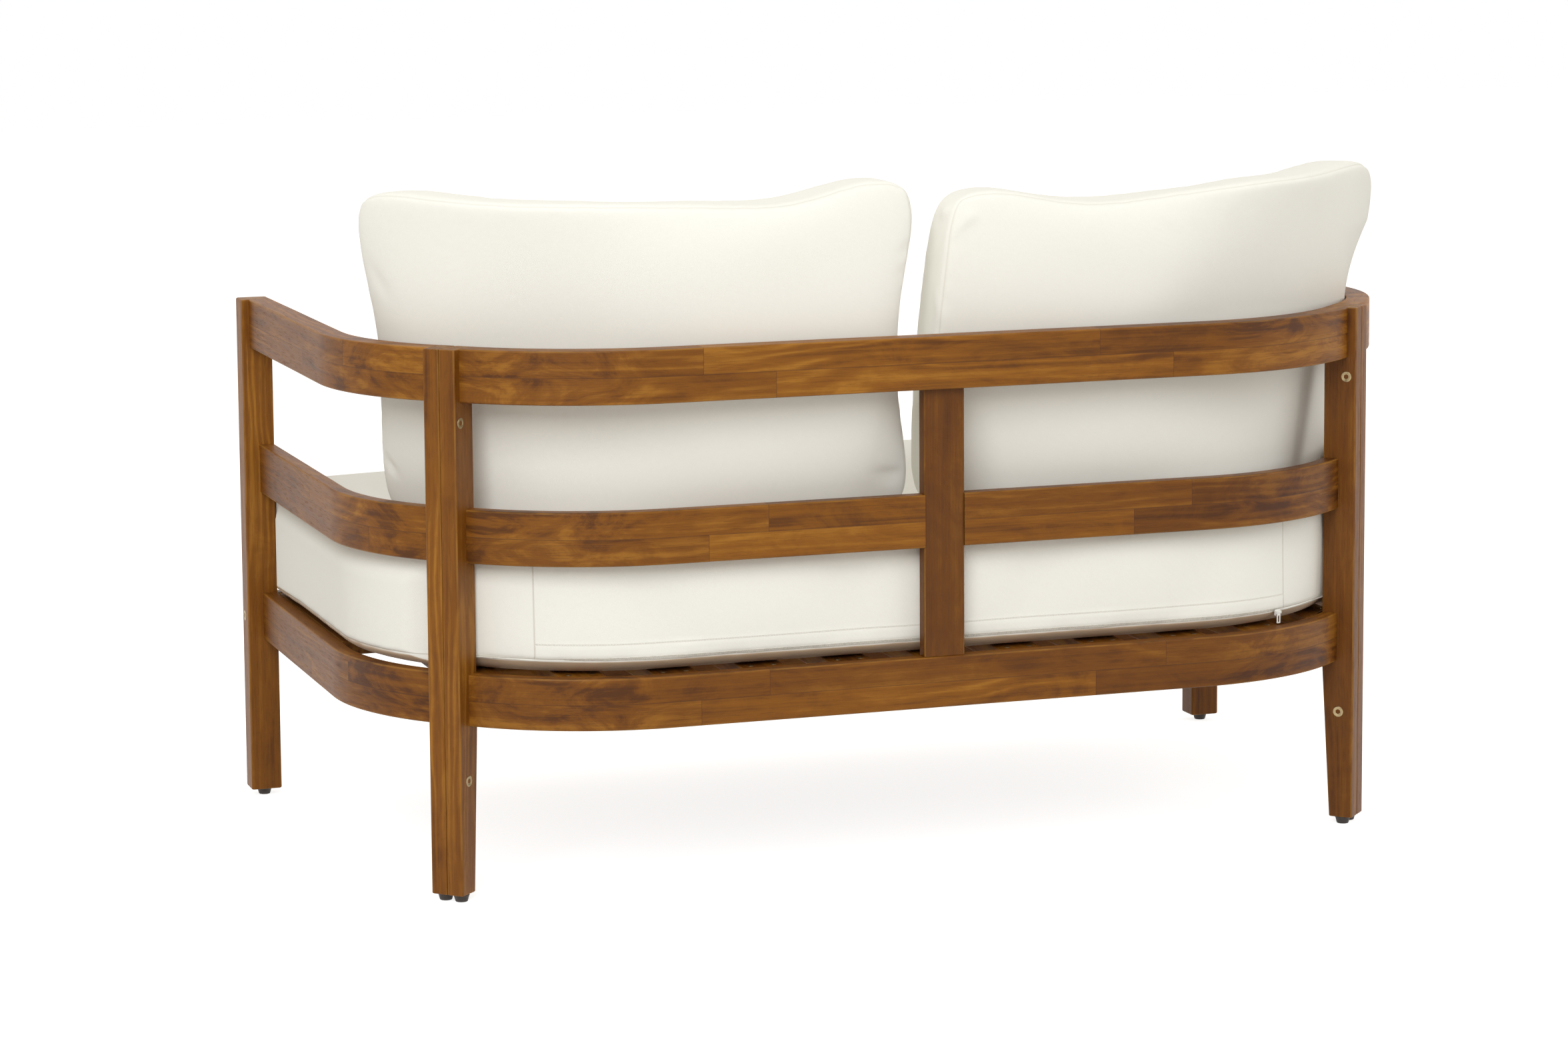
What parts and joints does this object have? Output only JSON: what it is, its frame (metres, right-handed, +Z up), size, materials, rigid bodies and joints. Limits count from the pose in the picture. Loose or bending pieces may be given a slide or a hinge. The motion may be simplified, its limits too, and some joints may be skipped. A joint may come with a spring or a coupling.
{
  "type": "patio loveseat",
  "caption": "Outdoor loveseat: rounded slatted wooden frame on slim posts, a boxed bench seat cushion and boxed back pillows.",
  "frame": {"origin": "on the ground under the middle of the whole loveseat", "axes": "+X to the sitter's left, -Y to the front, +Z up"},
  "size_m": [1.375, 0.756, 0.832],
  "materials": {
    "oiled_acacia": "oiled, satin, golden brown with figured grain",
    "seat_acacia": "oiled, matt, a little darker",
    "yellow_zinc": "yellow zinc plated steel",
    "dark_plastic": "moulded, dark brown",
    "cream_fabric": "plain woven, cream white, matt",
    "foam": "open-cell foam",
    "fibre_fill": "bonded polyester fibre",
    "zip_tape": "moulded teeth on woven tape",
    "zip_metal": "white enamel on die-cast metal"
  },
  "bodies": {
    "frame": {"arm_bottom_rail_left": "oiled_acacia", "arm_bottom_rail_right": "oiled_acacia", "arm_middle_rail_left": "oiled_acacia", "arm_middle_rail_right": "oiled_acacia", "arm_rear_post_left": "oiled_acacia", "arm_rear_post_right": "oiled_acacia", "arm_top_rail_left": "oiled_acacia", "arm_top_rail_right": "oiled_acacia", "back_bottom_rail": "oiled_acacia", "back_centre_slat": "oiled_acacia", "back_middle_rail_left": "oiled_acacia", "back_middle_rail_right": "oiled_acacia", "back_post_left": "oiled_acacia", "back_post_right": "oiled_acacia", "back_top_rail": "oiled_acacia", "corner_bolt_nuts": "yellow_zinc", "corner_bolts": "yellow_zinc", "front_batten": "seat_acacia", "front_cleat": "seat_acacia", "front_post_left": "oiled_acacia", "front_post_right": "oiled_acacia", "front_rail": "oiled_acacia", "front_rail_bolts": "yellow_zinc", "front_rail_nuts": "yellow_zinc", "leg_glides": "dark_plastic", "rear_batten": "seat_acacia", "rear_cleat": "seat_acacia", "seat_slat_1": "seat_acacia", "seat_slat_10": "seat_acacia", "seat_slat_11": "seat_acacia", "seat_slat_2": "seat_acacia", "seat_slat_3": "seat_acacia", "seat_slat_4": "seat_acacia", "seat_slat_5": "seat_acacia", "seat_slat_6": "seat_acacia", "seat_slat_7": "seat_acacia", "seat_slat_8": "seat_acacia", "seat_slat_9": "seat_acacia"},
    "seat_cushion": {"seat_cushion_cover": "cream_fabric", "seat_cushion_core": "foam", "seat_zip": "zip_tape"},
    "back_pillow_left": {"back_pillow_cover_left": "cream_fabric", "back_pillow_core_left": "fibre_fill"},
    "back_pillow_right": {"back_pillow_cover_right": "cream_fabric", "back_pillow_core_right": "fibre_fill"},
    "zip_slider": {"zip_slider": "zip_metal"},
    "zip_pull": {"zip_pull": "zip_metal"}
  },
  "joints": [
    {"name": "seat_cushion_lift", "type": "slide", "parent": "frame", "child": "seat_cushion", "axis": [0, 0, 1], "range_m": [0, 0.4]},
    {"name": "back_pillow_left_lift", "type": "slide", "parent": "seat_cushion", "child": "back_pillow_left", "axis": [0, 0, 1], "range_m": [0, 0.3]},
    {"name": "back_pillow_right_lift", "type": "slide", "parent": "seat_cushion", "child": "back_pillow_right", "axis": [0, 0, 1], "range_m": [0, 0.3]},
    {"name": "zip_run", "type": "hinge", "parent": "seat_cushion", "child": "zip_slider", "pos_m": [-0.33714, 0.0565, 0.283], "axis": [0, 0, -1], "range_deg": [0, 24]},
    {"name": "zip_pull_swing", "type": "hinge", "parent": "zip_slider", "child": "zip_pull", "pos_m": [-0.45538, 0.32207, 0.283], "axis": [0.9135, 0.4067, 0], "range_deg": [0, 150]}
  ]
}
